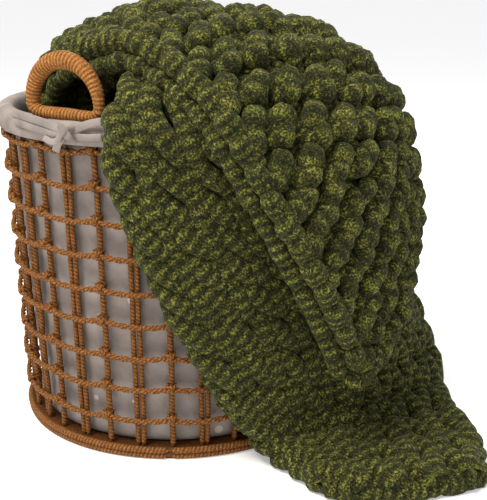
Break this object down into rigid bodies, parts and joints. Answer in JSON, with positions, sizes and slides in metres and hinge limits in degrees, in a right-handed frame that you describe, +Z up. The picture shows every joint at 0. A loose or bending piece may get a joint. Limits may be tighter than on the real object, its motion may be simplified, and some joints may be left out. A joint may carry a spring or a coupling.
{
  "type": "chunky knit blanket in a basket",
  "caption": "Chunky knit throw folded into a jute net basket with a cotton liner, its end draped over the rim to the floor.",
  "frame": {"origin": "middle of the basket's base, on the surface it stands on", "axes": "+Z up; -Y towards the front, where the throw hangs over the rim; +X to the right"},
  "size_m": [0.5516, 0.4826, 0.482],
  "materials": {
    "chenille": "thick moss green chenille yarn, matt",
    "jute": "twisted golden brown jute, matt",
    "cotton": "pale greyish cotton with small tone-on-tone motifs"
  },
  "bodies": {
    "root": {"base": "jute", "rim": "jute", "liner": "cotton", "handle_1": "jute", "handle_2": "jute", "tie": "cotton", "blanket": "chenille", "stake_01": "jute", "stake_02": "jute", "stake_03": "jute", "stake_04": "jute", "stake_05": "jute", "stake_06": "jute", "stake_07": "jute", "stake_08": "jute", "stake_09": "jute", "stake_10": "jute", "stake_11": "jute", "stake_12": "jute", "stake_13": "jute", "stake_14": "jute", "stake_15": "jute", "stake_16": "jute", "stake_17": "jute", "stake_18": "jute", "stake_19": "jute", "stake_20": "jute", "stake_21": "jute", "stake_22": "jute", "stake_23": "jute", "stake_24": "jute", "stake_25": "jute", "stake_26": "jute", "stake_27": "jute", "stake_28": "jute", "stake_29": "jute", "stake_30": "jute", "stake_31": "jute", "stake_32": "jute", "net_row_1": "jute", "net_row_2": "jute", "net_row_3": "jute", "net_row_4": "jute", "net_row_5": "jute", "net_row_6": "jute", "net_row_7": "jute", "net_row_8": "jute", "net_row_9": "jute"}
  },
  "joints": []
}
